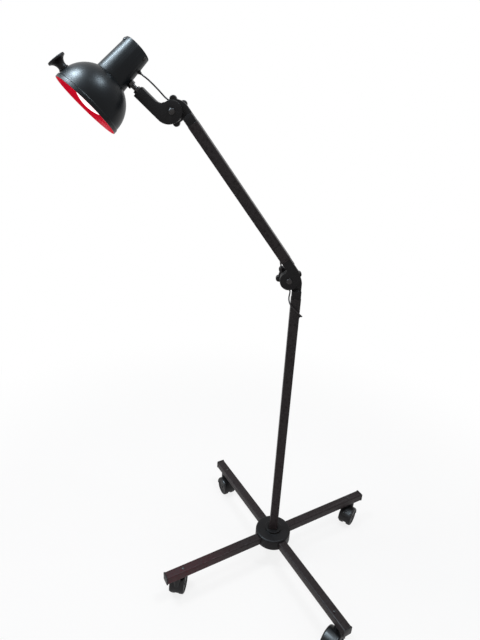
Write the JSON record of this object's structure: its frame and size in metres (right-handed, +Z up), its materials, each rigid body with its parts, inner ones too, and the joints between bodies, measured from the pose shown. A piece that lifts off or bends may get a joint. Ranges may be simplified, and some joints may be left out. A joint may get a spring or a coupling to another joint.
{
  "type": "infrared heat therapy lamp",
  "caption": "Floor-standing heat therapy lamp: caster base, square post, swing arm with knob-clamped joints and a swivelling dome head.",
  "frame": {"origin": "centre of the bounding box on the floor, under the stand", "axes": "+Z up along the post, arm plane along X with the head towards -X, rear with the knobs towards +Y"},
  "size_m": [0.8645, 0.6399, 1.4436],
  "materials": {
    "black_paint": "satin black stove enamel",
    "cast_black": "satin black on die castings",
    "red_enamel": "satin black outside, lit red by the bulb inside",
    "knob_plastic": "moulded",
    "hood_plastic": "moulded, slightly glossy",
    "wheel_plastic": "moulded tread",
    "rubber_black": "matt",
    "zinc_steel": "zinc plated",
    "black_steel": "black finished screws, bolts and nuts",
    "fibre": "friction fibre",
    "brass_shell": "plain",
    "porcelain": null,
    "ruby_glass": "ruby heat lamp glass",
    "bulb_cap_metal": "plain"
  },
  "bodies": {
    "base": {"base_hub": "cast_black", "base_hub_plate": "black_paint", "hub_plate_bolts": "zinc_steel", "leg_tube_1": "black_paint", "leg_tube_2": "black_paint", "leg_tube_3": "black_paint", "leg_tube_4": "black_paint", "leg_end_caps": "knob_plastic", "insert_screws": "black_steel", "post_tube": "black_paint", "base_grommets": "rubber_black", "post_screws": "black_steel", "elbow_bracket_post": "cast_black", "elbow_friction_washer": "fibre", "elbow_lead": "rubber_black"},
    "arm": {"arm_tube": "black_paint", "elbow_bracket_arm": "cast_black", "wrist_bracket_arm": "cast_black", "elbow_bolt": "black_steel", "wrist_friction_washer": "fibre", "bracket_screws": "black_steel", "arm_grommets": "rubber_black", "head_lead_lower": "rubber_black"},
    "link": {"wrist_link": "cast_black", "wrist_bolt": "black_steel", "lead_clip": "knob_plastic", "head_lead_upper": "rubber_black"},
    "head": {"head_nipple": "black_steel", "nipple_nuts": "black_steel", "can_shell": "black_paint", "can_cap": "black_paint", "cap_screws": "black_steel", "dome_reflector": "red_enamel", "lampholder_body": "porcelain", "holder_shell": "brass_shell", "holder_bracket": "zinc_steel", "bulb_glass": "ruby_glass", "bulb_cap": "bulb_cap_metal", "handle_knob": "knob_plastic", "lead_gland": "rubber_black"},
    "elbow_knob": {"elbow_star_knob": "knob_plastic"},
    "wrist_knob": {"wrist_star_knob": "knob_plastic"},
    "caster_1": {"caster_1_hood": "hood_plastic", "caster_1_pins": "zinc_steel"},
    "caster_1_left": {"caster_1_wheel_left": "wheel_plastic"},
    "caster_1_right": {"caster_1_wheel_right": "wheel_plastic"},
    "caster_2": {"caster_2_hood": "hood_plastic", "caster_2_pins": "zinc_steel"},
    "caster_2_left": {"caster_2_wheel_left": "wheel_plastic"},
    "caster_2_right": {"caster_2_wheel_right": "wheel_plastic"},
    "caster_3": {"caster_3_hood": "hood_plastic", "caster_3_pins": "zinc_steel"},
    "caster_3_left": {"caster_3_wheel_left": "wheel_plastic"},
    "caster_3_right": {"caster_3_wheel_right": "wheel_plastic"},
    "caster_4": {"caster_4_hood": "hood_plastic", "caster_4_pins": "zinc_steel"},
    "caster_4_left": {"caster_4_wheel_left": "wheel_plastic"},
    "caster_4_right": {"caster_4_wheel_right": "wheel_plastic"}
  },
  "joints": [
    {"name": "elbow_hinge", "type": "hinge", "parent": "base", "child": "arm", "pos_m": [0.0988, 0.0078, 0.9332], "axis": [0, 1, 0], "range_deg": [-90, 37], "deforming": ["elbow_lead"]},
    {"name": "wrist_hinge", "type": "hinge", "parent": "arm", "child": "link", "pos_m": [-0.18638, 0.0078, 1.30352], "axis": [0, 1, 0], "range_deg": [-55, 60], "deforming": ["head_lead_lower"]},
    {"name": "head_swivel", "type": "hinge", "parent": "link", "child": "head", "pos_m": [-0.30291, 0.0078, 1.37754], "axis": [-0.7513, 0, 0.66], "range_deg": [-165, 130], "deforming": ["head_lead_upper"]},
    {"name": "elbow_knob_turn", "type": "hinge", "parent": "arm", "child": "elbow_knob", "pos_m": [0.0988, 0.0078, 0.9332], "axis": [0, 1, 0], "continuous": true},
    {"name": "wrist_knob_turn", "type": "hinge", "parent": "link", "child": "wrist_knob", "pos_m": [-0.18638, 0.0078, 1.30352], "axis": [0, 1, 0], "continuous": true},
    {"name": "caster_1_swivel", "type": "hinge", "parent": "base", "child": "caster_1", "pos_m": [0.39547, 0.18229, 0.074], "axis": [0, 0, 1], "continuous": true},
    {"name": "caster_1_left_spin", "type": "hinge", "parent": "caster_1", "child": "caster_1_left", "pos_m": [0.38517, 0.16514, 0.03], "axis": [0.8572, -0.515, 0], "continuous": true},
    {"name": "caster_1_right_spin", "type": "hinge", "parent": "caster_1", "child": "caster_1_right", "pos_m": [0.38517, 0.16514, 0.03], "axis": [0.8572, -0.515, 0], "continuous": true},
    {"name": "caster_2_swivel", "type": "hinge", "parent": "base", "child": "caster_2", "pos_m": [-0.05439, 0.28317, 0.074], "axis": [0, 0, 1], "continuous": true},
    {"name": "caster_2_left_spin", "type": "hinge", "parent": "caster_2", "child": "caster_2_left", "pos_m": [-0.04409, 0.26603, 0.03], "axis": [0.8572, 0.515, 0], "continuous": true},
    {"name": "caster_2_right_spin", "type": "hinge", "parent": "caster_2", "child": "caster_2_right", "pos_m": [-0.04409, 0.26603, 0.03], "axis": [0.8572, 0.515, 0], "continuous": true},
    {"name": "caster_3_swivel", "type": "hinge", "parent": "base", "child": "caster_3", "pos_m": [-0.15527, -0.16669, 0.074], "axis": [0, 0, 1], "continuous": true},
    {"name": "caster_3_left_spin", "type": "hinge", "parent": "caster_3", "child": "caster_3_left", "pos_m": [-0.15318, -0.1468, 0.03], "axis": [-0.9945, 0.1045, 0], "continuous": true},
    {"name": "caster_3_right_spin", "type": "hinge", "parent": "caster_3", "child": "caster_3_right", "pos_m": [-0.15318, -0.1468, 0.03], "axis": [-0.9945, 0.1045, 0], "continuous": true},
    {"name": "caster_4_swivel", "type": "hinge", "parent": "base", "child": "caster_4", "pos_m": [0.29459, -0.26757, 0.074], "axis": [0, 0, 1], "continuous": true},
    {"name": "caster_4_left_spin", "type": "hinge", "parent": "caster_4", "child": "caster_4_left", "pos_m": [0.282, -0.28312, 0.03], "axis": [0.7771, -0.6293, 0], "continuous": true},
    {"name": "caster_4_right_spin", "type": "hinge", "parent": "caster_4", "child": "caster_4_right", "pos_m": [0.282, -0.28312, 0.03], "axis": [0.7771, -0.6293, 0], "continuous": true}
  ]
}
